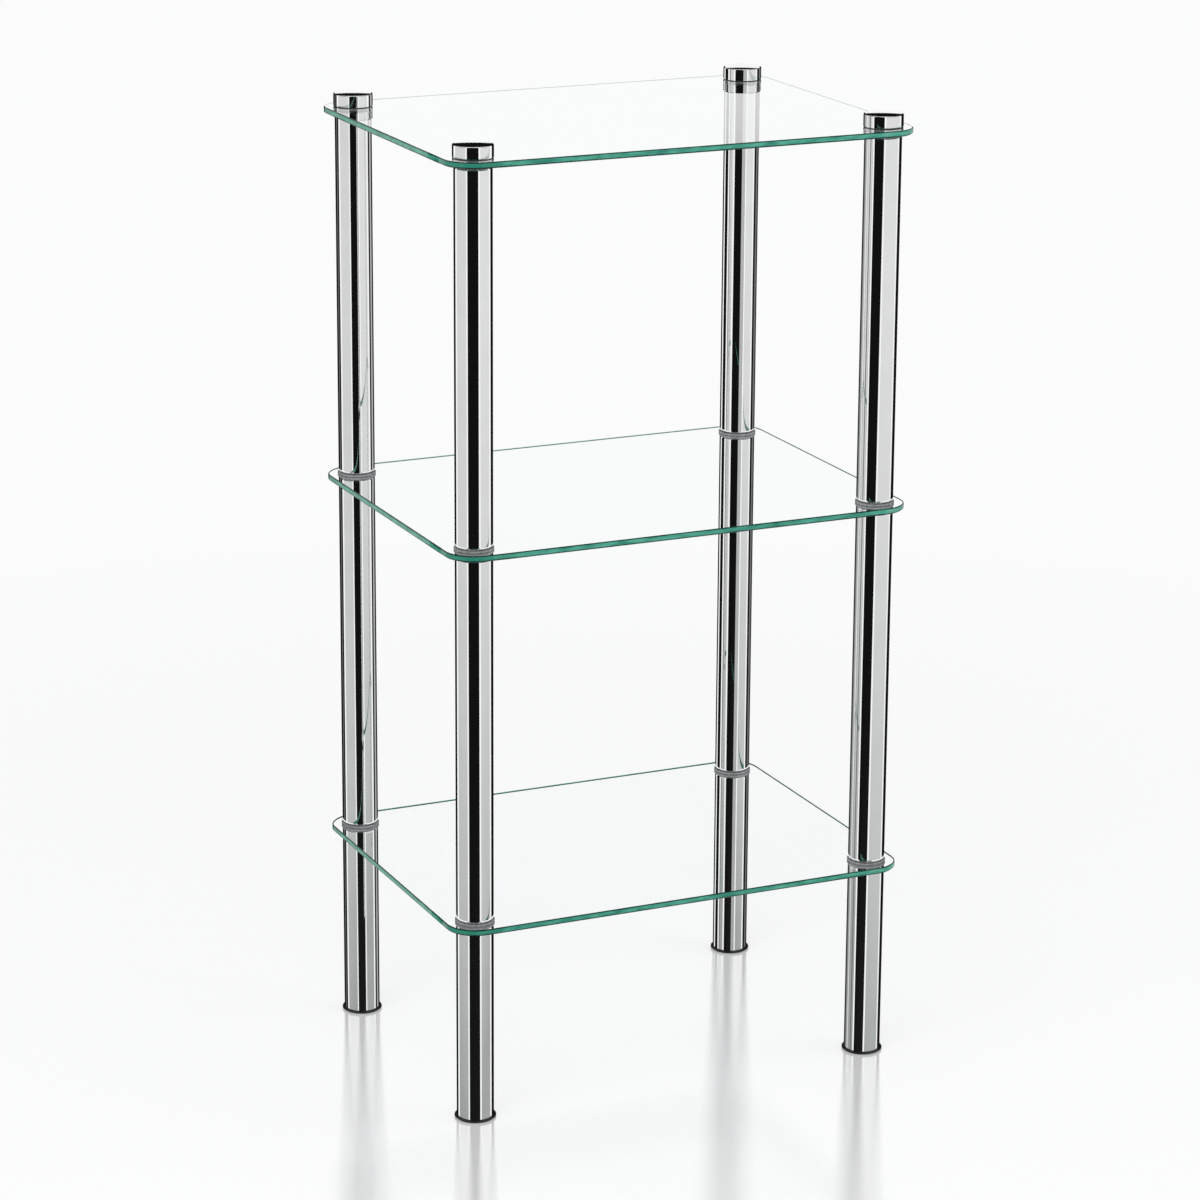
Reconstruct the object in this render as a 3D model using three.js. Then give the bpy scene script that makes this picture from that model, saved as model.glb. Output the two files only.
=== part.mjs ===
// Glass shelving unit: three clear glass shelves on four chromed posts.
// Each post is a stack of three tubes that screw together through the holes
// of the shelves: a tube has a threaded socket in its top end, and the tube
// or cap above has a stud that passes through a soft grommet in the glass.
// Millimetres, +Z up. The origin is on the floor, in the middle of the unit.
// X runs along the long side, and the front faces -Y.

import * as THREE from 'three';

// Shelves, of toughened glass with ground edges
const SHELF_WIDTH = 400;
const SHELF_DEPTH = 300;
const SHELF_THICKNESS = 5;
const SHELF_CORNER_RADIUS = 25;
const SHELF_ARRIS = 0.5;

// From the glass edges in to the axis of a post
const POST_INSET = 24;

// Steel tubes with ends rolled in to a flat lip
const TUBE_RADIUS = 15;
const TUBE_WALL = 1.2;
const TUBE_ROUNDING = 2.5;
const TUBE_LIP = 5;
const LEG_LENGTH = 160;
const TUBE_LENGTH = 300;

// Threaded joints inside the posts
const STUD_RADIUS = 4;
const STUD_TIP_CHAMFER = 0.8;
const SOCKET_LENGTH = 14;
const PLUG_LENGTH = 8;
const THREAD_ENGAGEMENT = 12;

// Soft grommets in the glass: a sleeve with a flange above and below
const FLANGE_THICKNESS = 1.3;
const FLANGE_OVERHANG = 0.8;
const SLEEVE_WALL = 2;
const CAP_SEAL_THICKNESS = 0.5;
const CAP_SEAL_SETBACK = 0.6;

// Caps on the top shelf
const CAP_OVERHANG = 1;
const CAP_SIDE_HEIGHT = 9.8;
const CAP_DOME_RISE = 0.5;
const CAP_EDGE_ROUNDING = 0.8;
const CAP_BORE_DEPTH = 6;
const DOME_HALFWAY_SHARE = 0.75;

// Push-in foot glides
const FOOT_OVERHANG = 1.8;
const FOOT_THICKNESS = 2;
const FOOT_CHAMFER = 0.5;
const FOOT_PLUG_LENGTH = 14;
const FOOT_PLUG_WALL = 2;

// Gap between pieces that slide or screw into each other
const CLEARANCE = 0.3;

// Facets of the solids
const ROUND_SIDES = 20;
const INNER_SIDES = 12;
const CORNER_STEPS = 6;
const ARC_STEPS = 2;

// Sizes that follow from the ones above
const TUBE_BORE_RADIUS = TUBE_RADIUS - TUBE_WALL;
const TUBE_MOUTH_RADIUS = TUBE_RADIUS - TUBE_LIP;
const INSERT_RADIUS = TUBE_BORE_RADIUS - CLEARANCE;
const SLEEVE_BORE_RADIUS = STUD_RADIUS + CLEARANCE;
const SLEEVE_RADIUS = SLEEVE_BORE_RADIUS + SLEEVE_WALL;
const SHELF_HOLE_RADIUS = SLEEVE_RADIUS + CLEARANCE;
const FLANGE_RADIUS = TUBE_RADIUS + FLANGE_OVERHANG;
const CAP_RADIUS = TUBE_RADIUS + CAP_OVERHANG;
const POST_X = SHELF_WIDTH / 2 - POST_INSET;
const POST_Y = SHELF_DEPTH / 2 - POST_INSET;

const COLOURS = {
  chrome: { color: 0xd4d6d8, roughness: 0.05, metalness: 1 },
  glass: { color: 0xd3ece3, roughness: 0.02, metalness: 0, transparent: true, opacity: 0.35 },
  grommet: { color: 0x8d9193, roughness: 0.4, metalness: 0 },
  glide: { color: 0x131415, roughness: 0.5, metalness: 0 },
  steel: { color: 0x9b9d9f, roughness: 0.4, metalness: 1 },
};

// One named mesh with a material of its own
function piece(name, finish, geometry) {
  const mesh = new THREE.Mesh(geometry, new THREE.MeshStandardMaterial(COLOURS[finish]));
  mesh.name = name;
  return mesh;
}

// A solid of revolution about Z from [radius, height] points, listed
// anticlockwise with the radius to the right
function turned(points, sides) {
  const profile = points.map(([radius, height]) => new THREE.Vector2(radius, height));
  return new THREE.LatheGeometry(profile, sides).rotateX(Math.PI / 2);
}

// Points of a quarter round about a centre, from one angle to another
function arc(centreRadius, centreHeight, radius, from, to, steps) {
  const points = [];
  for (let step = 0; step <= steps; step += 1) {
    const angle = from + ((to - from) * step) / steps;
    points.push([centreRadius + radius * Math.cos(angle), centreHeight + radius * Math.sin(angle)]);
  }
  return points;
}

// The rolled top end of a tube, outside first and then inside
function rolledTop(length) {
  const bend = TUBE_RADIUS - TUBE_ROUNDING;
  return [
    ...arc(bend, length - TUBE_ROUNDING, TUBE_ROUNDING, 0, Math.PI / 2, ARC_STEPS),
    [TUBE_MOUTH_RADIUS, length],
    [TUBE_MOUTH_RADIUS, length - TUBE_WALL],
    [bend, length - TUBE_WALL],
    [TUBE_BORE_RADIUS, length - TUBE_ROUNDING],
  ];
}

// A tube that stands on its glide with a plain cut end
function legTube() {
  const foot = [TUBE_RADIUS, 0];
  return turned([foot, ...rolledTop(LEG_LENGTH), [TUBE_BORE_RADIUS, 0], foot], ROUND_SIDES);
}

// A tube with both ends rolled in
function shelfTube() {
  const top = rolledTop(TUBE_LENGTH);
  const bottom = top.map(([radius, height]) => [radius, TUBE_LENGTH - height]).reverse();
  return turned([...top, ...bottom, top[0]], ROUND_SIDES);
}

// The threaded socket behind a tube's top lip, with its bore right through
function socketInsert() {
  const bore = SLEEVE_BORE_RADIUS;
  const shoulder = TUBE_ROUNDING - TUBE_WALL;
  return turned([
    [bore, 0],
    [INSERT_RADIUS, 0],
    [INSERT_RADIUS, SOCKET_LENGTH - shoulder],
    [INSERT_RADIUS - shoulder, SOCKET_LENGTH],
    [bore, SOCKET_LENGTH],
    [bore, 0],
  ], INNER_SIDES);
}

// A stud's shank from its chamfered tip at zero up to a length
function shank(length) {
  return [
    [0, 0],
    [STUD_RADIUS - STUD_TIP_CHAMFER, 0],
    [STUD_RADIUS, STUD_TIP_CHAMFER],
    [STUD_RADIUS, length],
  ];
}

// How far a stud reaches below what it holds, through a shelf into a socket
function studReach(flangeAbove) {
  return flangeAbove + SHELF_THICKNESS + FLANGE_THICKNESS + THREAD_ENGAGEMENT;
}

// The plug behind a tube's bottom lip, with the stud that hangs from it
function studInsert() {
  const reach = studReach(FLANGE_THICKNESS) + TUBE_WALL;
  const shoulder = TUBE_ROUNDING - TUBE_WALL;
  return turned([
    ...shank(reach),
    [INSERT_RADIUS - shoulder, reach],
    [INSERT_RADIUS, reach + shoulder],
    [INSERT_RADIUS, reach + PLUG_LENGTH],
    [0, reach + PLUG_LENGTH],
  ], INNER_SIDES);
}

// The loose stud that joins a cap to the post below it
function capStud() {
  const length = studReach(CAP_SEAL_THICKNESS) + CAP_BORE_DEPTH;
  return turned([...shank(length), [0, length]], INNER_SIDES);
}

// A grommet in a shelf's hole, with its own upper flange
function grommet(upperRadius, upperThickness) {
  const underGlass = FLANGE_THICKNESS;
  const overGlass = underGlass + SHELF_THICKNESS;
  const top = overGlass + upperThickness;
  const start = [SLEEVE_BORE_RADIUS, 0];
  return turned([
    start,
    [FLANGE_RADIUS, 0],
    [FLANGE_RADIUS, underGlass],
    [SLEEVE_RADIUS, underGlass],
    [SLEEVE_RADIUS, overGlass],
    [upperRadius, overGlass],
    [upperRadius, top],
    [SLEEVE_BORE_RADIUS, top],
    start,
  ], ROUND_SIDES);
}

// A cap with a rounded rim, a slightly domed top and a blind bore below
function cap() {
  const rim = CAP_RADIUS - CAP_EDGE_ROUNDING;
  const rimHeight = CAP_SIDE_HEIGHT - CAP_EDGE_ROUNDING;
  return turned([
    [0, CAP_BORE_DEPTH],
    [SLEEVE_BORE_RADIUS, CAP_BORE_DEPTH],
    [SLEEVE_BORE_RADIUS, 0],
    [CAP_RADIUS, 0],
    ...arc(rim, rimHeight, CAP_EDGE_ROUNDING, 0, Math.PI / 2, ARC_STEPS),
    [rim / 2, CAP_SIDE_HEIGHT + CAP_DOME_RISE * DOME_HALFWAY_SHARE],
    [0, CAP_SIDE_HEIGHT + CAP_DOME_RISE],
  ], ROUND_SIDES);
}

// A glide: a flange under the leg and an open cup that grips its bore
function footGlide() {
  const flange = TUBE_RADIUS + FOOT_OVERHANG;
  const plugTop = FOOT_THICKNESS + FOOT_PLUG_LENGTH;
  return turned([
    [0, 0],
    [flange - FOOT_CHAMFER, 0],
    [flange, FOOT_CHAMFER],
    [flange, FOOT_THICKNESS],
    [INSERT_RADIUS, FOOT_THICKNESS],
    [INSERT_RADIUS, plugTop - FOOT_CHAMFER],
    [INSERT_RADIUS - FOOT_CHAMFER, plugTop],
    [INSERT_RADIUS - FOOT_PLUG_WALL, plugTop],
    [INSERT_RADIUS - FOOT_PLUG_WALL, FOOT_THICKNESS],
    [0, FOOT_THICKNESS],
  ], ROUND_SIDES);
}

// The four post axes, with the words that name them
function postPlaces() {
  const places = [];
  for (const [row, y] of [['front', -POST_Y], ['back', POST_Y]]) {
    for (const [side, x] of [['left', -POST_X], ['right', POST_X]]) {
      places.push({ name: `${row}_${side}`, x, y });
    }
  }
  return places;
}

// A glass sheet with round corners, a hole for each post and ground edges
function shelfGlass() {
  const x = SHELF_WIDTH / 2 - SHELF_CORNER_RADIUS;
  const y = SHELF_DEPTH / 2 - SHELF_CORNER_RADIUS;
  const quarter = Math.PI / 2;
  const outline = new THREE.Shape();
  outline.absarc(x, y, SHELF_CORNER_RADIUS, 0, quarter);
  outline.absarc(-x, y, SHELF_CORNER_RADIUS, quarter, 2 * quarter);
  outline.absarc(-x, -y, SHELF_CORNER_RADIUS, 2 * quarter, 3 * quarter);
  outline.absarc(x, -y, SHELF_CORNER_RADIUS, 3 * quarter, 4 * quarter);
  for (const place of postPlaces()) {
    const hole = new THREE.Path();
    hole.absarc(place.x, place.y, SHELF_HOLE_RADIUS, 0, 2 * Math.PI, true);
    outline.holes.push(hole);
  }
  const sheet = new THREE.ExtrudeGeometry(outline, {
    depth: SHELF_THICKNESS - 2 * SHELF_ARRIS,
    curveSegments: CORNER_STEPS,
    bevelThickness: SHELF_ARRIS,
    bevelSize: SHELF_ARRIS,
    bevelOffset: -SHELF_ARRIS,
    bevelSegments: 1,
  });
  return sheet.translate(0, 0, SHELF_ARRIS);
}

// Heights of the tiers, from the floor up
function tierHeights() {
  const tiers = [];
  let tubeBase = FOOT_THICKNESS;
  let tubeLength = LEG_LENGTH;
  for (const name of ['lower', 'middle', 'top']) {
    const tubeTop = tubeBase + tubeLength;
    const glass = tubeTop + FLANGE_THICKNESS;
    tiers.push({ name, tubeBase, tubeTop, glass });
    tubeBase = glass + SHELF_THICKNESS + FLANGE_THICKNESS;
    tubeLength = TUBE_LENGTH;
  }
  return tiers;
}

// One post: its glide, then each tier's tube, inserts and grommet, then the cap
function post(name) {
  const group = new THREE.Group();
  const place = (height, part, finish, geometry) => {
    const mesh = piece(`${name}_${part}`, finish, geometry);
    mesh.position.z = height;
    group.add(mesh);
  };
  place(0, 'foot_glide', 'glide', footGlide());
  for (const tier of tierHeights()) {
    const onFloor = tier.name === 'lower';
    const underCap = tier.name === 'top';
    const tube = { lower: 'leg_tube', middle: 'middle_tube', top: 'upper_tube' }[tier.name];
    place(tier.tubeBase, tube, 'chrome', onFloor ? legTube() : shelfTube());
    if (!onFloor) {
      const tip = tier.tubeBase - studReach(FLANGE_THICKNESS);
      place(tip, `${tube}_stud_plug`, 'steel', studInsert());
    }
    place(tier.tubeTop - TUBE_WALL - SOCKET_LENGTH, `${tube}_socket`, 'steel', socketInsert());
    const upperRadius = underCap ? CAP_RADIUS - CAP_SEAL_SETBACK : FLANGE_RADIUS;
    const upperThickness = underCap ? CAP_SEAL_THICKNESS : FLANGE_THICKNESS;
    place(tier.tubeTop, `${tier.name}_grommet`, 'grommet', grommet(upperRadius, upperThickness));
    if (underCap) {
      const capBase = tier.glass + SHELF_THICKNESS + CAP_SEAL_THICKNESS;
      place(capBase, 'cap', 'chrome', cap());
      place(capBase - studReach(CAP_SEAL_THICKNESS), 'cap_stud', 'steel', capStud());
    }
  }
  return group;
}

const unit = new THREE.Group();
for (const place of postPlaces()) {
  const group = post(place.name);
  group.position.set(place.x, place.y, 0);
  unit.add(group);
}
for (const tier of tierHeights()) {
  const shelf = piece(`${tier.name}_shelf`, 'glass', shelfGlass());
  shelf.position.z = tier.glass;
  unit.add(shelf);
}

export default unit;
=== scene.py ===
"""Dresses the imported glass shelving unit: fine glass, chrome, grommets and glides on the CAD frame.

The stripes of the posts are reflections of a photographic set that the camera doesn't see.
"""

import math

import bmesh
import bpy
from mathutils import Matrix, Vector
from mathutils.geometry import tessellate_polygon


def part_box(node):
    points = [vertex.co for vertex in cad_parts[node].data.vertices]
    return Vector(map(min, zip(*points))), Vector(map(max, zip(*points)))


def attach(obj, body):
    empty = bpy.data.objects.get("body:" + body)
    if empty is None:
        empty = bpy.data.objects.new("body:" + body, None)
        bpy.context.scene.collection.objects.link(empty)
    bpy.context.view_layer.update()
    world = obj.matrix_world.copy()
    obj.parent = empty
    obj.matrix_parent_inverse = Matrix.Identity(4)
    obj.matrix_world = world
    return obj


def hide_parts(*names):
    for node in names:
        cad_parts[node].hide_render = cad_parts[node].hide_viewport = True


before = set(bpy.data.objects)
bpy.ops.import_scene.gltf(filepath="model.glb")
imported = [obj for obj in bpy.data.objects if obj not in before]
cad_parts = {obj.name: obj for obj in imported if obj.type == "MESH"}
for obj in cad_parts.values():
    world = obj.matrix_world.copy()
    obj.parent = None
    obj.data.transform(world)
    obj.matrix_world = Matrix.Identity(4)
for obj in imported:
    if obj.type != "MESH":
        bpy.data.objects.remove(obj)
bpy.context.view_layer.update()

MM = 0.001
BODY = "root"
POSTS = ("front_left", "front_right", "back_left", "back_right")
SHELVES = ("lower_shelf", "middle_shelf", "top_shelf")
INSERTS = (
    "leg_tube_socket",
    "middle_tube_stud_plug",
    "middle_tube_socket",
    "upper_tube_stud_plug",
    "upper_tube_socket",
    "cap_stud",
)

# Shelves
CORNER_RADIUS = 25 * MM
ARRIS = 0.8 * MM
DARK_STRIP = 0.4 * MM
HOLE_RADIUS = 6.6 * MM
CORNER_STEPS = 24
HOLE_STEPS = 48

# An edge has four bands from below: arris, dark strip, ground edge and arris. Only the third has the bright
# green, and the rest the dark one.
EDGE_BAND = 2
EDGE_SLOT = 1
ARRIS_SLOT = 2

# Tubes
TUBE_WALL = 1.2 * MM
TUBE_ROUNDING = 2.5 * MM
TUBE_LIP = 5 * MM
CUT_CHAMFER = 0.3 * MM

# Caps
CAP_ROUNDING = 0.8 * MM
CAP_DOME_RISE = 0.5 * MM
CAP_BORE_RADIUS = 4.3 * MM
CAP_BORE_DEPTH = 6 * MM
CAP_FOOT_ROUNDING = 0.25 * MM

# Grommets
SLEEVE_BORE_RADIUS = 4.3 * MM
SLEEVE_RADIUS = 6.3 * MM
FLANGE_THICKNESS = 1.3 * MM
SEAL_RADIUS = 15.4 * MM
SEAL_THICKNESS = 0.5 * MM
# Painted shade: the height over which the seals over the top shelf darken to near black, for the cap's shadow
SEAL_SHADE_FADE = 0.1 * MM
SOFT_ROUNDING = 0.1 * MM

# Glides
GLIDE_FLANGE_THICKNESS = 2 * MM
GLIDE_CHAMFER = 0.5 * MM
GLIDE_FOOT_INSET = 1.5 * MM
GLIDE_FOOT_HEIGHT = 1.2 * MM
GLIDE_ROUNDING = 0.3 * MM
GLIDE_PLUG_RADIUS = 13.5 * MM
GLIDE_PLUG_WALL = 2 * MM

# Fineness of the turned pieces
SIDES = 96
ARC_STEPS = 6
SMALL_ARC_STEPS = 3
DOME_STEPS = 8
SUPPORT = 0.3 * MM
LONG_WALL = 4 * SUPPORT
SHARP_TURN = math.radians(30)
SOFT_TURN = math.radians(0.5)

# Camera
CAMERA_PLACE = Vector((-1.360, -2.961, 1.344))
CAMERA_YAW = math.radians(24.49)
CAMERA_PITCH = math.radians(15.16)
CAMERA_ROLL = math.radians(-0.33)
CAMERA_LENS = 123.24
CAMERA_SENSOR = 36
CAMERA_SHIFT_Y = -0.08

# Background, light and floor
WHITE = (1, 1, 1, 1)
BACKGROUND = (0.965, 0.968, 0.972, 1)
DOME_LIGHT = (0.68, 0.68, 0.69, 1)
FLOOR_RADIUS = 4
FLOOR_FADE_START = 0.4
FLOOR_FADE_END = 1.6
FLOOR_FADE_LEAST = 0.5
FLOOR_STEPS = 96
FLOOR_COLOUR = (0.93, 0.935, 0.94, 1)
FLOOR_MIRROR = 0.42
FLOOR_ROUGH_SLOPE = 0.03
KEY_PLACE = Vector((-1.5, -1.4, 2.3))
KEY_SIZE = 2.6
KEY_POWER = 44
FILL_PLACE = Vector((1.8, -1.0, 1.6))
FILL_SIZE = 1.6
FILL_POWER = 11
LAMP_AIM = Vector((0, 0, 0.35))

# Materials: a noise is given as cycles per metre, detail and stretch, tones from dark to light, a roughness
# from low to high, and a relief as a height. Most of each noise lies between these two values:
NOISE_LOW = 0.3
NOISE_HIGH = 0.7

CHROME_CLOUD = (55, 4)
CHROME_CLOUD_HIGH = 0.75
CHROME_POLISH = (900, 2, (1, 1, 0.12))
CHROME_TONES = ((0.90, 0.905, 0.91), (0.945, 0.95, 0.955))
CHROME_ROUGHNESS = (0.022, 0.05)
CHROME_RELIEF = 0.0006 * MM

STEEL_SPANGLE = (400, 4)
STEEL_MARKS = (150, 3, (1, 1, 25))
STEEL_TONES = ((0.42, 0.43, 0.44), (0.60, 0.61, 0.63))
STEEL_ROUGHNESS = (0.24, 0.42)
STEEL_RELIEF = 0.02 * MM

RUBBER_MOTTLE = (260, 4)
RUBBER_GRAIN = (5200, 2)
RUBBER_TONES = ((0.20, 0.205, 0.21), (0.30, 0.305, 0.31))
RUBBER_ROUGHNESS = (0.22, 0.36)
RUBBER_RELIEF = 0.01 * MM
# Painted shade: the near-black tone at the foot of the ramp, for the seals in the shadow under the caps
SEAL_SHADE_STOP = (0.02, (0.008, 0.008, 0.009))

PLASTIC_GRAIN = (3800, 3)
PLASTIC_CLOUD = (120, 3)
PLASTIC_TONES = ((0.006, 0.006, 0.007), (0.012, 0.012, 0.013))
PLASTIC_ROUGHNESS = (0.35, 0.52)
PLASTIC_RELIEF = 0.015 * MM

# Glass, with the share of the light that it mirrors at some Fresnel values
GLASS_IOR = 1.5
GLASS_WAVE = (9, 2)
GLASS_CLOUD = (14, 2)
GLASS_TONES = ((0.990, 0.996, 0.995), (0.994, 0.998, 0.998))
GLASS_RELIEF = 0.004 * MM
MIRROR_STOPS = ((0, 0.01), (0.16, 0.02), (0.25, 0.04), (0.40, 0.64), (1, 1))

# Ground edges of the glass: greens from dark to pale. Painted light: they shift towards pale at the right
# corners and to dark at the left ones, for the light inside the glass there, wholly up to the first distance
# from the middle of a post and not past the second.
EDGE_STREAKS = (75, 4, (1, 1, 4))
EDGE_GRAIN = (700, 3)
EDGE_STOPS = (0.34, 0.62, 1)
EDGE_GREENS = ((0.02, 0.19, 0.13), (0.07, 0.34, 0.245), (0.24, 0.37, 0.32))
EDGE_GLOSS = 0.3
ARRIS_GREENS = ((0.003, 0.022, 0.016), (0.008, 0.06, 0.044), (0.04, 0.09, 0.075))
ARRIS_GLOSS = 0.2
EDGE_ROUGHNESS = (0.12, 0.3)
EDGE_RELIEF = 0.004 * MM
CORNER_LIGHT_SHIFTS = (0.12, -0.2)
CORNER_LIGHT_RADIUS = 25.5 * MM
PLAIN_RADIUS = 30 * MM


def arc(centre, radius, start, end, steps=ARC_STEPS):
    """Points (radius, height) of an arc about a centre; 0 degrees points outward and 90 upward."""
    points = []
    for step in range(steps + 1):
        angle = math.radians(start + (end - start) * step / steps)
        points.append((centre[0] + radius * math.cos(angle), centre[1] + radius * math.sin(angle)))
    return points


def turn_at(points, index):
    """How far a closed profile turns at a point, in radians."""
    here = Vector(points[index])
    before = here - Vector(points[index - 1])
    after = Vector(points[(index + 1) % len(points)]) - here
    if before.length == 0 or after.length == 0:
        return 0
    return before.angle(after)


def supported(points):
    """The profile with extra points next to soft turns, so that long walls keep straight normals."""
    result = []
    for index, point in enumerate(points):
        result.append(point)
        start = Vector(point)
        end = Vector(points[(index + 1) % len(points)])
        length = (end - start).length
        if length < LONG_WALL or (start.x == 0 and end.x == 0):
            continue
        step = (end - start) * (SUPPORT / length)
        if SOFT_TURN < turn_at(points, index) < SHARP_TURN:
            result.append(tuple(start + step))
        if SOFT_TURN < turn_at(points, (index + 1) % len(points)) < SHARP_TURN:
            result.append(tuple(end - step))
    return result


def new_object(name, data):
    """An object of a mesh, a lamp or a camera, put into the scene."""
    made = bpy.data.objects.new(name, data)
    bpy.context.scene.collection.objects.link(made)
    return made


def finish_piece(name, mesh, materials, node):
    """Makes an object of a bmesh that stands for one CAD node."""
    data = bpy.data.meshes.new(name)
    mesh.to_mesh(data)
    mesh.free()
    for material in materials:
        data.materials.append(material)
    piece = new_object(name, data)
    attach(piece, BODY)
    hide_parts(node)


def turned(name, profile, node, material):
    """Turns a profile of (radius, height) points about a node's axis, with its sharp corners kept."""
    low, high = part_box(node)
    centre = (low + high) / 2
    points = supported(profile)
    mesh = bmesh.new()
    rings = []
    for radius, height in points:
        count = 1 if radius == 0 else SIDES
        ring = []
        for side in range(count):
            angle = 2 * math.pi * side / SIDES
            place = (centre.x + radius * math.cos(angle), centre.y + radius * math.sin(angle), height)
            ring.append(mesh.verts.new(place))
        rings.append(ring)
    for index, ring in enumerate(rings):
        following = rings[(index + 1) % len(rings)]
        for side in range(SIDES):
            corners = []
            for vertex in (
                ring[side % len(ring)],
                ring[(side + 1) % len(ring)],
                following[(side + 1) % len(following)],
                following[side % len(following)],
            ):
                if vertex not in corners:
                    corners.append(vertex)
            if len(corners) > 2:
                mesh.faces.new(corners).smooth = True
    for index, ring in enumerate(rings):
        if len(ring) > 1 and turn_at(points, index) > SHARP_TURN:
            for side in range(SIDES):
                mesh.edges.get((ring[side], ring[(side + 1) % SIDES])).smooth = False
    finish_piece(name, mesh, [material], node)


def radius_and_heights(node):
    """A round node's radius and its lowest and highest point."""
    low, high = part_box(node)
    return (high.x - low.x) / 2, low.z, high.z


def rolled_end(radius, end, inward):
    """A tube's rolled end from its outside to its bore; inward is -1 at the top and 1 at the bottom."""
    bend = radius - TUBE_ROUNDING
    outer = (bend, end + inward * TUBE_ROUNDING)
    quarter = -90 * inward
    lip = radius - TUBE_LIP
    return [
        *arc(outer, TUBE_ROUNDING, 0, quarter),
        (lip, end),
        (lip, end + inward * TUBE_WALL),
        *arc(outer, TUBE_ROUNDING - TUBE_WALL, quarter, 0),
    ]


def shelf_tube_profile(radius, bottom, top):
    """A tube with both ends rolled in."""
    return [*rolled_end(radius, top, -1), *reversed(rolled_end(radius, bottom, 1))]


def leg_tube_profile(radius, bottom, top):
    """A tube with a plain cut below, its burr taken off, and a rolled end above."""
    bore = radius - TUBE_WALL
    return [
        (radius - CUT_CHAMFER, bottom),
        (radius, bottom + CUT_CHAMFER),
        *rolled_end(radius, top, -1),
        (bore, bottom),
    ]


def cap_profile(radius, bottom, top):
    """A solid cap with a softened rim, a spherical dome and a blind bore from below."""
    foot = (radius - CAP_FOOT_ROUNDING, bottom + CAP_FOOT_ROUNDING)
    rim = radius - CAP_ROUNDING
    rim_height = top - CAP_DOME_RISE - CAP_ROUNDING
    sphere = (rim * rim + CAP_DOME_RISE * CAP_DOME_RISE) / (2 * CAP_DOME_RISE)
    edge_angle = math.degrees(math.asin(rim / sphere))
    dome = arc((0, top - sphere), sphere, 90 - edge_angle, 90, DOME_STEPS)
    dome[-1] = (0, top)
    return [
        (0, bottom + CAP_BORE_DEPTH),
        (CAP_BORE_RADIUS, bottom + CAP_BORE_DEPTH),
        (CAP_BORE_RADIUS, bottom),
        *arc(foot, CAP_FOOT_ROUNDING, -90, 0, SMALL_ARC_STEPS),
        *arc((rim, rim_height), CAP_ROUNDING, 0, 90 - edge_angle)[:-1],
        *dome,
    ]


def soft_flange(radius, bottom, top):
    """The softened outer edge of a flange, from its underside to its upper side."""
    inner = radius - SOFT_ROUNDING
    return [
        *arc((inner, bottom + SOFT_ROUNDING), SOFT_ROUNDING, -90, 0, SMALL_ARC_STEPS),
        *arc((inner, top - SOFT_ROUNDING), SOFT_ROUNDING, 0, 90, SMALL_ARC_STEPS),
    ]


def grommet_profile(radius, bottom, top, upper_radius, upper_thickness):
    """A grommet: a sleeve through the glass with a flange below and one above."""
    under_glass = bottom + FLANGE_THICKNESS
    over_glass = top - upper_thickness
    return [
        (SLEEVE_BORE_RADIUS, bottom),
        *soft_flange(radius, bottom, under_glass),
        (SLEEVE_RADIUS, under_glass),
        (SLEEVE_RADIUS, over_glass),
        *soft_flange(upper_radius, over_glass, top),
        (SLEEVE_BORE_RADIUS, top),
    ]


def glide_profile(radius, bottom, top):
    """A glide: a flange that narrows towards the floor, and the open cup that grips the leg."""
    flange_top = bottom + GLIDE_FLANGE_THICKNESS
    shoulder = (radius - GLIDE_ROUNDING, flange_top - GLIDE_ROUNDING)
    cup = GLIDE_PLUG_RADIUS - GLIDE_PLUG_WALL
    return [
        (0, bottom),
        (radius - GLIDE_FOOT_INSET, bottom),
        (radius, bottom + GLIDE_FOOT_HEIGHT),
        *arc(shoulder, GLIDE_ROUNDING, 0, 90, SMALL_ARC_STEPS),
        (GLIDE_PLUG_RADIUS, flange_top),
        (GLIDE_PLUG_RADIUS, top - GLIDE_CHAMFER),
        (GLIDE_PLUG_RADIUS - GLIDE_CHAMFER, top),
        (cup, top),
        (cup, flange_top),
        (0, flange_top),
    ]


def shelf_outline(low, high, inset):
    """Points round a shelf, anticlockwise; the inset brings them in for the arris."""
    reach_x = high.x - CORNER_RADIUS
    reach_y = high.y - CORNER_RADIUS
    middle = (low + high) / 2
    points = []
    for quarter, (side_x, side_y) in enumerate(((1, 1), (-1, 1), (-1, -1), (1, -1))):
        corner_x = middle.x + side_x * (reach_x - middle.x)
        corner_y = middle.y + side_y * (reach_y - middle.y)
        corner = Vector((corner_x, corner_y))
        for step in range(CORNER_STEPS + 1):
            angle = math.pi / 2 * (quarter + step / CORNER_STEPS)
            outward = Vector((math.cos(angle), math.sin(angle)))
            along = Vector((-math.sin(angle), math.cos(angle)))
            point = corner + (CORNER_RADIUS - inset) * outward
            if step == 0:
                points.append(point - SUPPORT * along)
            points.append(point)
            if step == CORNER_STEPS:
                points.append(point + SUPPORT * along)
    return points


def hole_outline(centre, radius):
    """Points round a hole, clockwise."""
    points = []
    for step in range(HOLE_STEPS):
        angle = -2 * math.pi * step / HOLE_STEPS
        point = (centre.x + radius * math.cos(angle), centre.y + radius * math.sin(angle))
        points.append(Vector(point))
    return points


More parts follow.
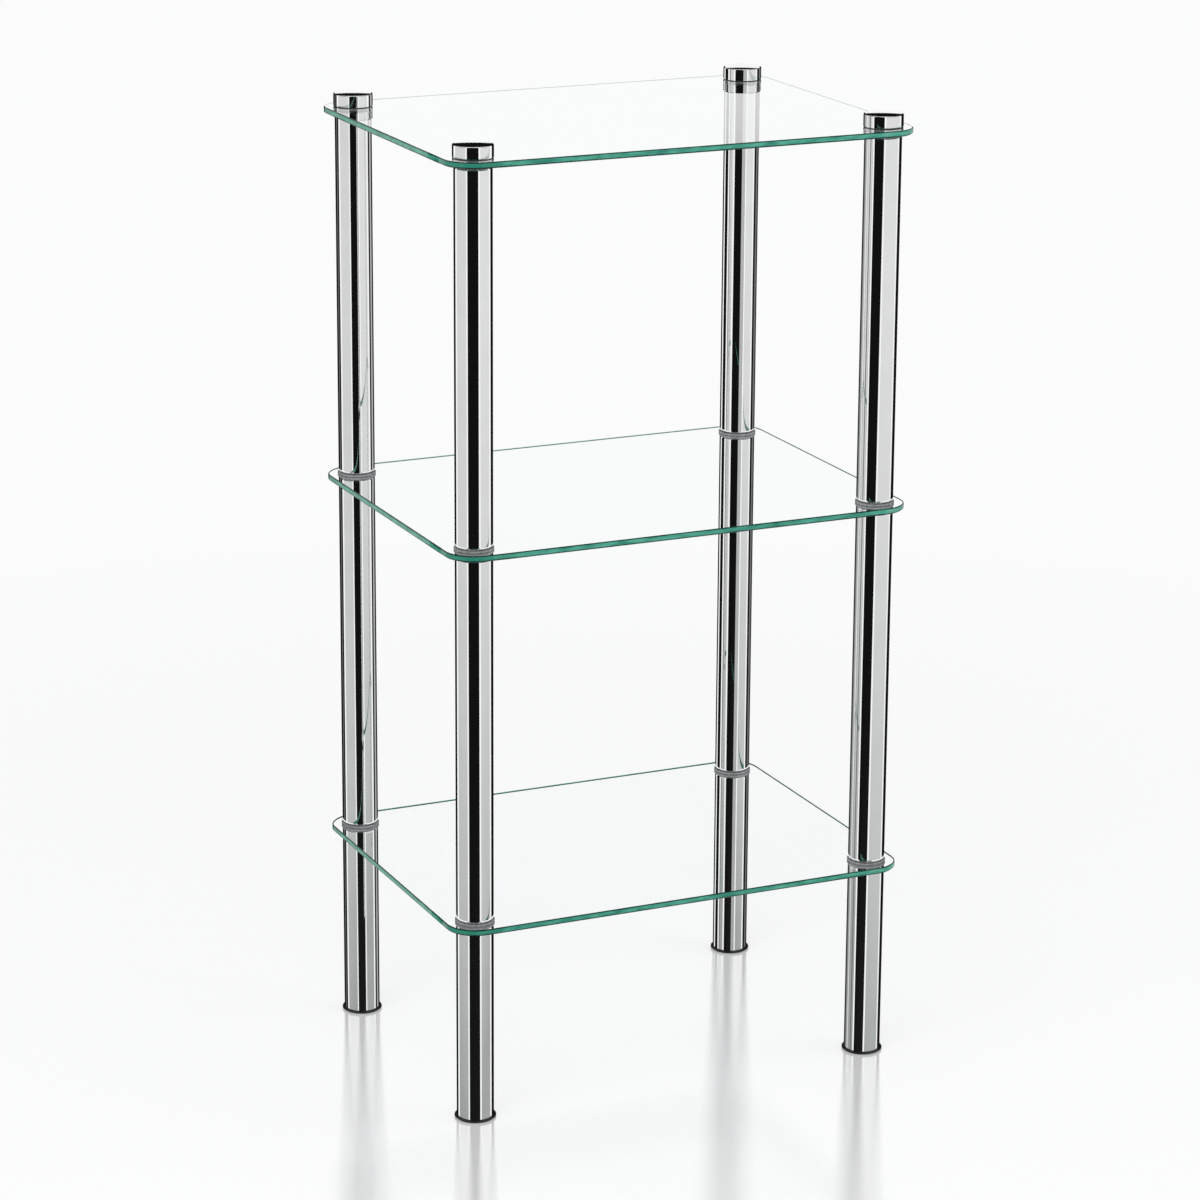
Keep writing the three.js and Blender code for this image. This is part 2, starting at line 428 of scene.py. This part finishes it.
def shelf(name, node, glass, edge, arris):
    """A sheet of glass with round corners, bevelled edges and four bevelled holes."""
    low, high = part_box(node)
    outlines = [lambda inset: shelf_outline(low, high, inset)]
    for post in POSTS:
        tube_low, tube_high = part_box(post + "_leg_tube")
        centre = (tube_low + tube_high) / 2
        outlines.append(lambda inset, centre=centre: hole_outline(centre, HOLE_RADIUS + inset))
    levels = (
        (low.z, ARRIS),
        (low.z + ARRIS, 0),
        (low.z + ARRIS + DARK_STRIP, 0),
        (high.z - ARRIS, 0),
        (high.z, ARRIS),
    )
    mesh = bmesh.new()
    faces = {low.z: [], high.z: []}
    for outline in outlines:
        loops = []
        for height, inset in levels:
            loop = [mesh.verts.new((point.x, point.y, height)) for point in outline(inset)]
            loops.append(loop)
            if height in faces:
                faces[height].append(loop)
        for band, (lower, upper) in enumerate(zip(loops, loops[1:])):
            for index in range(len(lower)):
                following = (index + 1) % len(lower)
                quad = (lower[index], lower[following], upper[following], upper[index])
                face = mesh.faces.new(quad)
                face.smooth = True
                face.material_index = EDGE_SLOT if band == EDGE_BAND else ARRIS_SLOT
        for loop in loops:
            for index in range(len(loop)):
                mesh.edges.get((loop[index], loop[(index + 1) % len(loop)])).smooth = False
    for height, loops in faces.items():
        corners = [vertex for loop in loops for vertex in loop]
        for triangle in tessellate_polygon([[vertex.co for vertex in loop] for loop in loops]):
            face = mesh.faces.new([corners[index] for index in triangle])
            face.normal_update()
            if (face.normal.z > 0) != (height == high.z):
                face.normal_flip()
    finish_piece(name, mesh, [glass, edge, arris], node)


class Nodes:
    """The node tree of a material or of the world, as it is built."""

    def __init__(self, owner):
        owner.use_nodes = True
        self.tree = owner.node_tree
        self.tree.nodes.clear()

    def add(self, kind, inputs=None, **settings):
        """Adds a node, sets its properties, and gives its inputs a value or a link each."""
        node = self.tree.nodes.new("ShaderNode" + kind)
        for key, value in settings.items():
            setattr(node, key, value)
        for key, value in (inputs or {}).items():
            if isinstance(value, bpy.types.NodeSocket):
                self.tree.links.new(value, node.inputs[key])
            else:
                node.inputs[key].default_value = value
        return node

    def output(self, kind, shader):
        """Ends the tree."""
        self.add("Output" + kind, {"Surface": shader})

    def place(self):
        """The point on the object, in its own metres."""
        return self.add("TexCoord").outputs["Object"]

    def axis(self, vector, letter):
        """One coordinate of a vector."""
        return self.add("SeparateXYZ", {0: vector}).outputs[letter]

    def noise(self, scale, detail, stretch=None):
        """Noise from 0 to 1 with a scale in cycles per metre; a stretch scales each axis, for streaks."""
        vector = self.place()
        if stretch:
            vector = self.add("Mapping", {"Vector": vector, "Scale": stretch}).outputs["Vector"]
        inputs = {"Vector": vector, "Scale": scale, "Detail": detail}
        return self.add("TexNoise", inputs).outputs["Fac"]

    def ramp(self, factor, stops):
        """A colour ramp through (position, grey or colour) stops."""
        node = self.add("ValToRGB", {"Fac": factor})
        elements = node.color_ramp.elements
        while len(elements) < len(stops):
            elements.new(0.5)
        for element, (position, value) in zip(elements, stops):
            element.position = position
            colour = value if isinstance(value, tuple) else (value, value, value)
            element.color = (*colour[:3], 1)
        return node.outputs["Color"]

    def ranged(self, value, low, high, to_low=0, to_high=1):
        """A value moved from one range to another, clamped."""
        inputs = {"Value": value, "From Min": low, "From Max": high, "To Min": to_low, "To Max": to_high}
        return self.add("MapRange", inputs).outputs["Result"]

    def tones(self, noise, dark, light):
        """A colour that follows noise from a dark tone to a light one."""
        return self.ramp(noise, ((NOISE_LOW, dark), (NOISE_HIGH, light)))

    def spread(self, noise, low, high):
        """A number that follows noise from a low value to a high one."""
        return self.ranged(noise, NOISE_LOW, NOISE_HIGH, low, high)

    def math(self, operation, first, second):
        """One operation on two numbers."""
        return self.add("Math", {0: first, 1: second}, operation=operation).outputs["Value"]

    def vector(self, operation, *inputs):
        """One operation on vectors."""
        node = self.add("VectorMath", dict(enumerate(inputs)), operation=operation)
        return node.outputs["Value" if operation == "LENGTH" else "Vector"]

    def mix_shader(self, factor, first, second):
        """A mix of two shaders."""
        return self.add("MixShader", {0: factor, 1: first, 2: second}).outputs["Shader"]

    def mirror(self, normal):
        """A sharp mirror."""
        inputs = {"Color": WHITE, "Roughness": 0, "Normal": normal}
        return self.add("BsdfGlossy", inputs).outputs["BSDF"]

    def bump(self, height, distance):
        """A normal from a height from 0 to 1 and the distance that 1 stands for."""
        inputs = {"Height": height, "Distance": distance, "Strength": 1}
        return self.add("Bump", inputs).outputs["Normal"]

    def dress(self, shader, colour, roughness, normal):
        """Links a colour, a roughness and a normal to a Principled shader."""
        for key, value in (("Base Color", colour), ("Roughness", roughness), ("Normal", normal)):
            self.tree.links.new(value, shader.inputs[key])

    def front_side(self):
        """1 on the front of a face and 0 on its back."""
        return self.math("SUBTRACT", 1, self.add("NewGeometry").outputs["Backfacing"])

    def background_view(self):
        """1 for rays that show the background: from the camera, through glass and off a mirror."""
        path = self.add("LightPath").outputs
        seen = self.math("MAXIMUM", path["Is Camera Ray"], path["Is Transmission Ray"])
        return self.math("MAXIMUM", seen, path["Is Glossy Ray"])

    def metal_view(self):
        """1 for rays off chrome and other soft gloss, or mirrored more than once, and 0 for the rest."""
        path = self.add("LightPath").outputs
        # The first mirror ray of the sharp glass or floor is left out. The depth counts the mirror bounces.
        reflected = self.math("GREATER_THAN", path["Glossy Depth"], 0.5)
        first = self.math("LESS_THAN", path["Glossy Depth"], 1.5)
        mirror = self.math("MULTIPLY", path["Is Singular Ray"], path["Is Reflection Ray"])
        plain = self.math("SUBTRACT", 1, self.math("MULTIPLY", mirror, first))
        return self.math("MULTIPLY", reflected, plain)


def surface(name, **inputs):
    """A material with one Principled shader; returns it with its nodes and the shader."""
    material = bpy.data.materials.new(name)
    nodes = Nodes(material)
    shader = nodes.add("BsdfPrincipled", inputs)
    nodes.output("Material", shader.outputs["BSDF"])
    return material, nodes, shader


def polished_chrome():
    """Bright chrome with a faint cloudiness and polishing marks."""
    material, nodes, shader = surface("polished_chrome", Metallic=1)
    cloud = nodes.noise(*CHROME_CLOUD)
    roughness = nodes.ranged(cloud, NOISE_LOW, CHROME_CLOUD_HIGH, *CHROME_ROUGHNESS)
    polish = nodes.bump(nodes.noise(*CHROME_POLISH), CHROME_RELIEF)
    nodes.dress(shader, nodes.tones(cloud, *CHROME_TONES), roughness, polish)
    return material


def zinc_steel():
    """Plated steel of the studs and sockets, with spangles and fine turning marks."""
    material, nodes, shader = surface("zinc_steel", Metallic=1)
    marks = nodes.noise(*STEEL_MARKS)
    colour = nodes.tones(nodes.noise(*STEEL_SPANGLE), *STEEL_TONES)
    nodes.dress(shader, colour, nodes.spread(marks, *STEEL_ROUGHNESS), nodes.bump(marks, STEEL_RELIEF))
    return material


def grommet_rubber():
    """Soft grey plastic with a little mottling; the thin seals over the top shelf get a painted shade, near
    black, for the shadow of the caps over them.
    """
    material, nodes, shader = surface("grommet_rubber")
    mottle = nodes.noise(*RUBBER_MOTTLE)
    height = nodes.axis(nodes.place(), "Z")
    over_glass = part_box("top_shelf")[1].z
    # Painted shade: the part over the top shelf, in the shadow under the cap, is painted near black
    unshaded_part = nodes.ranged(height, over_glass - SEAL_SHADE_FADE, over_glass, 1, 0)
    dark, light = RUBBER_TONES
    stops = (SEAL_SHADE_STOP, (NOISE_LOW, dark), (NOISE_HIGH, light))
    colour = nodes.ramp(nodes.math("MULTIPLY", mottle, unshaded_part), stops)
    grain = nodes.bump(nodes.noise(*RUBBER_GRAIN), RUBBER_RELIEF)
    nodes.dress(shader, colour, nodes.spread(mottle, *RUBBER_ROUGHNESS), grain)
    return material


def glide_plastic():
    """Black moulded plastic with a fine grain."""
    material, nodes, shader = surface("glide_plastic")
    grain = nodes.noise(*PLASTIC_GRAIN)
    colour = nodes.tones(nodes.noise(*PLASTIC_CLOUD), *PLASTIC_TONES)
    nodes.dress(shader, colour, nodes.spread(grain, *PLASTIC_ROUGHNESS), nodes.bump(grain, PLASTIC_RELIEF))
    return material


def clear_glass():
    """Clear float glass that mirrors at a shallow angle; reflected rays and shadow rays pass it unbent."""
    material = bpy.data.materials.new("clear_glass")
    nodes = Nodes(material)
    wave = nodes.bump(nodes.noise(*GLASS_WAVE), GLASS_RELIEF)
    tint = nodes.tones(nodes.noise(*GLASS_CLOUD), *GLASS_TONES)
    fresnel = nodes.add("Fresnel", {"IOR": GLASS_IOR, "Normal": wave}).outputs["Fac"]
    mirrored = nodes.math("MULTIPLY", nodes.ramp(fresnel, MIRROR_STOPS), nodes.front_side())
    inputs = {"Color": tint, "Roughness": 0, "IOR": GLASS_IOR, "Normal": wave}
    through = nodes.add("BsdfRefraction", inputs).outputs["BSDF"]
    open_glass = nodes.add("BsdfTransparent", {"Color": tint}).outputs["BSDF"]
    path = nodes.add("LightPath").outputs
    passed = nodes.mix_shader(path["Is Reflection Ray"], through, open_glass)
    glass = nodes.mix_shader(mirrored, passed, nodes.mirror(wave))
    nodes.output("Material", nodes.mix_shader(path["Is Shadow Ray"], glass, open_glass))
    return material


def glass_edge(name, greens, gloss):
    """The ground edge of the glass, where its green shows: streaked, with painted light that makes the right
    corners paler and the left ones deeper.
    """
    material, nodes, shader = surface(name, **{"Specular IOR Level": gloss})
    streaks = nodes.noise(*EDGE_STREAKS)
    low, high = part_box("back_right_leg_tube")
    offset = nodes.vector("SUBTRACT", nodes.vector("ABSOLUTE", nodes.place()), (low + high) / 2)
    distance = nodes.vector("LENGTH", nodes.vector("MULTIPLY", offset, (1, 1, 0)))
    near = nodes.ranged(distance, CORNER_LIGHT_RADIUS, PLAIN_RADIUS, 1, 0)
    across = nodes.axis(nodes.place(), "X")
    # Painted light: paler near the right posts and deeper near the left ones, for the light inside the glass
    # at the corners
    painted_light = nodes.math("MULTIPLY", near, nodes.ranged(across, low.x, -low.x, *CORNER_LIGHT_SHIFTS))
    colour = nodes.ramp(nodes.math("ADD", streaks, painted_light), tuple(zip(EDGE_STOPS, greens)))
    grain = nodes.bump(nodes.noise(*EDGE_GRAIN), EDGE_RELIEF)
    nodes.dress(shader, colour, nodes.spread(streaks, *EDGE_ROUGHNESS), grain)
    return material


chrome = polished_chrome()
steel = zinc_steel()
rubber = grommet_rubber()
plastic = glide_plastic()
glass = clear_glass()
edge_green = glass_edge("glass_edge", EDGE_GREENS, EDGE_GLOSS)
arris_green = glass_edge("glass_arris", ARRIS_GREENS, ARRIS_GLOSS)

for post in POSTS:
    for tube, profile in (
        ("leg_tube", leg_tube_profile),
        ("middle_tube", shelf_tube_profile),
        ("upper_tube", shelf_tube_profile),
        ("cap", cap_profile),
    ):
        node = post + "_" + tube
        turned("chrome_" + tube + "_" + post, profile(*radius_and_heights(node)), node, chrome)
    for level in ("lower", "middle", "top"):
        node = post + "_" + level + "_grommet"
        radius, bottom, top = radius_and_heights(node)
        upper = (SEAL_RADIUS, SEAL_THICKNESS) if level == "top" else (radius, FLANGE_THICKNESS)
        profile = grommet_profile(radius, bottom, top, *upper)
        turned("soft_" + level + "_grommet_" + post, profile, node, rubber)
    node = post + "_foot_glide"
    turned("moulded_glide_" + post, glide_profile(*radius_and_heights(node)), node, plastic)

for node in SHELVES:
    shelf("glass_" + node, node, glass, edge_green, arris_green)

for post in POSTS:
    for insert in INSERTS:
        for material_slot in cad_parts[post + "_" + insert].material_slots:
            material_slot.material = steel

# Directions of the photographic set: to the camera's right, and away from the camera
SET_RIGHT = Vector((math.cos(CAMERA_YAW), -math.sin(CAMERA_YAW), 0))
SET_AWAY = Vector((math.sin(CAMERA_YAW), math.cos(CAMERA_YAW), 0))

# The set: lowest and highest point in metres, and the corners of a panel as (right, away). The black flags
# are a bent one in front of the unit, one behind it and a canopy high behind it. White strips stand in front.
PANEL_BOTTOM = -2.6
PANEL_TOP = 2.4
BACK_FLAG_TOP = 0.80
CANOPY_BOTTOM = 0.98
CANOPY_TOP = 1.4
FLAGS = (
    (PANEL_BOTTOM, PANEL_TOP, ((-0.525, -0.89), (-0.216, -0.367), (0.252, -0.753))),
    (PANEL_BOTTOM, BACK_FLAG_TOP, ((-0.55, 1.25), (0.40, 1.30))),
    (CANOPY_BOTTOM, CANOPY_TOP, ((-0.9, 1.0), (0.9, 1.0))),
)
STRIPS = (
    (PANEL_BOTTOM, PANEL_TOP, ((-0.579, -0.749), (-0.525, -0.89))),
    (PANEL_BOTTOM, PANEL_TOP, ((0.252, -0.753), (0.360, -0.710))),
)

# Cards close beside each post, which only that post reflects: a tone, and where it starts and ends on the
# post as the camera sees it, from -1 at its left edge to 1 at its right edge. Each card stands at a small
# angle to the rays that it catches, and is clear from its other side and from further away than its reach.
CARD_NEAR = 0.021
CARD_SLANT = math.radians(22)
CARD_REACH = 0.12
CARDS = {
    "front_left": (
        ("black", -1, -0.90),
        ("white", -0.90, -0.83),
        ("white", 0.80, 0.87),
        ("black", 0.87, 1),
    ),
    "front_right": (
        ("black", -1, -0.94),
        ("dim", -0.94, -0.89),
        ("grey", -0.89, -0.82),
        ("dim", -0.66, -0.61),
        ("white", -0.52, -0.445),
        ("black", -0.445, -0.30),
        ("white", 0.795, 0.855),
        ("black", 0.855, 1),
    ),
    "back_left": (
        ("black", -1, -0.91),
        ("dim", -0.91, -0.875),
        ("black", -0.875, -0.80),
        ("white", -0.80, -0.73),
        ("white", 0.70, 0.77),
        ("black", 0.77, 0.85),
        ("grey", 0.85, 0.925),
        ("black", 0.925, 1),
    ),
    "back_right": (
        ("black", -1, -0.925),
        ("white", -0.925, -0.87),
        ("black", -0.87, -0.715),
        ("white", -0.715, -0.65),
        ("dim", -0.64, -0.60),
        ("white", -0.43, -0.35),
        ("black", -0.35, -0.15),
        ("grey", 0.065, 0.235),
        ("white", 0.25, 0.31),
        ("white", 0.695, 0.76),
        ("black", 0.76, 0.86),
        ("dim", 0.86, 0.94),
        ("black", 0.94, 1),
    ),
}

# Level white collars round the lower ends of the middle and upper tubes, which the rounded ends reflect
COLLAR_INNER = 0.0162
COLLAR_OUTER = 0.021
COLLAR_SHARES = ((-1, -0.35), (0.3, 1))
COLLAR_STEPS = 8

# The tent: two round walls with their angles and brightness
TENT_RADIUS = 1.05
TENT_STEPS = 48
TENTS = (
    ("left", math.radians(-200), math.radians(-90), 1),
    ("right", math.radians(-90), math.radians(12), 1.1),
)

# Light by height, as (metres, grey or colour), and the shares of the tent's light on darker cards
TENT_HEIGHTS = (
    (-0.39, (0.345, 0.36, 0.355)),
    (-0.192, (0.495, 0.505, 0.50)),
    (0.209, 0.65),
    (0.45, 0.70),
    (1.0, 0.70),
    (1.2, 0.30),
)
FLAG_HEIGHTS = ((-0.4, 0.013), (0.2, 0.006))
WHITE_HEIGHTS = ((0, 1), (1, 1))
GREY_SHARE = 0.68
DIM_SHARE = 0.25

# The softbox over the unit
SOFTBOX_HEIGHT = 2.2
SOFTBOX_HALF = 0.5


def set_place(right, away, height):
    """A place of the set in the frame's own axes."""
    return right * SET_RIGHT + away * SET_AWAY + Vector((0, 0, height))


def strip_mesh(name, places):
    """A wall of quads through (lower, upper) pairs of places."""
    data = bpy.data.meshes.new(name)
    points = [point for pair in places for point in pair]
    quads = [(2 * i, 2 * i + 2, 2 * i + 3, 2 * i + 1) for i in range(len(places) - 1)]
    data.from_pydata(points, [], quads)
    return data


def stage_panel(name, places, material):
    """A panel of the set that only reflections see."""
    data = strip_mesh(name, places)
    data.materials.append(material)
    panel = new_object(name, data)
    panel.visible_camera = False
    panel.visible_diffuse = False
    panel.visible_shadow = False
    panel.visible_volume_scatter = False


def scaled_levels(levels, brightness):
    """The (height, light) pairs with their light scaled."""
    result = []
    for height, light in levels:
        colour = Vector(light if isinstance(light, tuple) else (light, light, light))
        result.append((height, tuple(brightness * colour)))
    return result


def panel_light(name, levels, is_card=False):
    """Light of a panel by height for the rays of metal_view; a card shows on one side and close by."""
    material = bpy.data.materials.new(name)
    nodes = Nodes(material)
    height = nodes.axis(nodes.add("NewGeometry").outputs["Position"], "Z")
    lowest = levels[0][0]
    span = max(levels[-1][0] - lowest, MM)
    stops = [((level - lowest) / span, light) for level, light in levels]
    colour = nodes.ramp(nodes.ranged(height, lowest, lowest + span), stops)
    light = nodes.add("Emission", {"Color": colour}).outputs["Emission"]
    clear = nodes.add("BsdfTransparent").outputs["BSDF"]
    shown = nodes.metal_view()
    if is_card:
        close = nodes.math("LESS_THAN", nodes.add("LightPath").outputs["Ray Length"], CARD_REACH)
        shown = nodes.math("MULTIPLY", shown, nodes.math("MULTIPLY", nodes.front_side(), close))
    nodes.output("Material", nodes.mix_shader(shown, clear, light))
    material.cycles.emission_sampling = "NONE"
    return material


def set_direction(angle):
    """A level direction of the set: 0 points to the camera and a quarter turn to its right."""
    return math.sin(angle) * SET_RIGHT - math.cos(angle) * SET_AWAY


def mirrored_ray(centre, radius, share):
    """Where the camera's ray meets a post at a share of its half width, and the angle it leaves at."""
    to_camera = CAMERA_PLACE - centre
    camera_angle = math.atan2(to_camera.dot(SET_RIGHT), -to_camera.dot(SET_AWAY))
    tilt = math.asin(share)
    return radius * set_direction(camera_angle + tilt), camera_angle + 2 * tilt


def at_distance(centre, radius, share, distance):
    """The point of such a ray at a distance from the middle of the post."""
    start, angle = mirrored_ray(centre, radius, share)
    direction = set_direction(angle)
    along = start.dot(direction)
    return start + (math.sqrt(along * along + distance * distance - radius * radius) - along) * direction


def card_corners(centre, radius, start, end):
    """The two ends of a card that fills a post's reflection between two shares of its half width."""
    side = math.copysign(1, start + end)
    wide, narrow = (end, start) if side > 0 else (start, end)
    near = at_distance(centre, radius, wide, CARD_NEAR)
    origin, angle = mirrored_ray(centre, radius, narrow)
    direction = set_direction(angle)
    slanted = set_direction(angle - side * CARD_SLANT)
    far = origin + (near - origin).cross(slanted).z / direction.cross(slanted).z * direction
    return (near, far) if side > 0 else (far, near)


flag_black = panel_light("flag_black", FLAG_HEIGHTS)
strip_white = panel_light("strip_white", WHITE_HEIGHTS)

for kind, panels, material in (("flag", FLAGS, flag_black), ("strip", STRIPS, strip_white)):
    for index, (bottom, top, corners) in enumerate(panels):
        pairs = [(set_place(*corner, bottom), set_place(*corner, top)) for corner in corners]
        stage_panel(f"{kind}_{index}", pairs, material)

card_materials = {
    "black": panel_light("card_black", FLAG_HEIGHTS, True),
    "dim": panel_light("card_dim", scaled_levels(TENT_HEIGHTS, DIM_SHARE), True),
    "grey": panel_light("card_grey", scaled_levels(TENT_HEIGHTS, GREY_SHARE), True),
    "white": panel_light("card_white", WHITE_HEIGHTS, True),
}
for post, cards in CARDS.items():
    low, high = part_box(post + "_upper_tube")
    centre = (low + high) / 2
    radius = (high.x - low.x) / 2
    foot = Vector((centre.x, centre.y, PANEL_BOTTOM))
    head = Vector((centre.x, centre.y, PANEL_TOP))
    for index, (tone, start, end) in enumerate(cards):
        pairs = [(foot + corner, head + corner) for corner in card_corners(centre, radius, start, end)]
        stage_panel(f"card_{post}_{index}", pairs, card_materials[tone])
    for tube in ("middle_tube", "upper_tube"):
        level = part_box(post + "_" + tube)[0].z
        middle = Vector((centre.x, centre.y, level))
        for index, (start, end) in enumerate(COLLAR_SHARES):
            pairs = []
            for step in range(COLLAR_STEPS + 1):
                share = start + (end - start) * step / COLLAR_STEPS
                outer = at_distance(centre, radius, share, COLLAR_OUTER)
                pairs.append((middle + COLLAR_INNER / COLLAR_OUTER * outer, middle + outer))
            stage_panel(f"collar_{post}_{tube}_{index}", pairs, strip_white)

for side, start, end, brightness in TENTS:
    tent = []
    for step in range(TENT_STEPS + 1):
        angle = start + (end - start) * step / TENT_STEPS
        right = TENT_RADIUS * math.cos(angle)
        away = TENT_RADIUS * math.sin(angle)
        tent.append((set_place(right, away, PANEL_BOTTOM), set_place(right, away, PANEL_TOP)))
    material = panel_light(side + "_tent", scaled_levels(TENT_HEIGHTS, brightness))
    stage_panel(side + "_tent", tent, material)

softbox = []
for right in (-SOFTBOX_HALF, SOFTBOX_HALF):
    near = set_place(right, -SOFTBOX_HALF, SOFTBOX_HEIGHT)
    far = set_place(right, SOFTBOX_HALF, SOFTBOX_HEIGHT)
    softbox.append((near, far))
stage_panel("softbox", softbox, strip_white)


def floor_look():
    """Shaded near the unit, plain background further out, and a faint mirror; clear for metal_view."""
    material = bpy.data.materials.new("floor")
    nodes = Nodes(material)
    distance = nodes.vector("LENGTH", nodes.place())
    faded = nodes.ranged(distance, FLOOR_FADE_START, FLOOR_FADE_END, FLOOR_FADE_LEAST, 1)
    seen = nodes.background_view()
    shaded = nodes.add("BsdfDiffuse", {"Color": FLOOR_COLOUR}).outputs["BSDF"]
    plain = nodes.add("Emission", {"Color": BACKGROUND}).outputs["Emission"]
    base = nodes.mix_shader(nodes.math("MULTIPLY", faded, seen), shaded, plain)
    slope = FLOOR_ROUGH_SLOPE
    chance = nodes.add("TexWhiteNoise", {"Vector": nodes.place()}).outputs["Color"]
    grain = nodes.vector("MULTIPLY_ADD", chance, (2 * slope, 2 * slope, 0), (-slope, -slope, 1))
    mirror = nodes.mirror(nodes.vector("NORMALIZE", grain))
    look = nodes.mix_shader(nodes.math("MULTIPLY", seen, FLOOR_MIRROR), base, mirror)
    clear = nodes.add("BsdfTransparent").outputs["BSDF"]
    nodes.output("Material", nodes.mix_shader(nodes.metal_view(), look, clear))
    material.cycles.emission_sampling = "NONE"
    return material


def add_floor():
    """A round floor under the unit."""
    data = bpy.data.meshes.new("floor")
    mesh = bmesh.new()
    bmesh.ops.create_circle(mesh, cap_ends=True, segments=FLOOR_STEPS, radius=FLOOR_RADIUS)
    mesh.to_mesh(data)
    mesh.free()
    data.materials.append(floor_look())
    new_object("floor", data)


def add_world():
    """The background for the camera, through glass and in metal, and a dome of light."""
    world = bpy.data.worlds.new("studio")
    bpy.context.scene.world = world
    nodes = Nodes(world)
    lit = nodes.add("Background", {"Color": DOME_LIGHT}).outputs["Background"]
    plain = nodes.add("Background", {"Color": BACKGROUND}).outputs["Background"]
    nodes.output("World", nodes.mix_shader(nodes.background_view(), lit, plain))
    world.cycles.sampling_method = "NONE"


def lamp(name, place, size, power):
    """A soft square lamp aimed at the object, that reflections don't see."""
    data = bpy.data.lights.new(name, "AREA")
    data.size = size
    data.energy = power
    light = new_object(name, data)
    light.location = place
    light.rotation_euler = (LAMP_AIM - place).to_track_quat("-Z", "Y").to_euler()
    light.visible_glossy = False


def add_camera():
    """The camera at the photograph's place."""
    forward = Vector((
        math.sin(CAMERA_YAW) * math.cos(CAMERA_PITCH),
        math.cos(CAMERA_YAW) * math.cos(CAMERA_PITCH),
        -math.sin(CAMERA_PITCH),
    ))
    down = forward.cross(SET_RIGHT)
    rolled_right = math.cos(CAMERA_ROLL) * SET_RIGHT + math.sin(CAMERA_ROLL) * down
    rolled_down = math.cos(CAMERA_ROLL) * down - math.sin(CAMERA_ROLL) * SET_RIGHT
    data = bpy.data.cameras.new("camera")
    data.lens = CAMERA_LENS
    data.sensor_width = CAMERA_SENSOR
    data.shift_y = CAMERA_SHIFT_Y
    camera = new_object("camera", data)
    turning = Matrix((rolled_right, -rolled_down, -forward)).transposed().to_4x4()
    camera.matrix_world = Matrix.Translation(CAMERA_PLACE) @ turning
    bpy.context.scene.camera = camera


add_floor()
add_world()
lamp("key", KEY_PLACE, KEY_SIZE, KEY_POWER)
lamp("fill", FILL_PLACE, FILL_SIZE, FILL_POWER)
add_camera()
bpy.context.scene.view_settings.view_transform = "Standard"
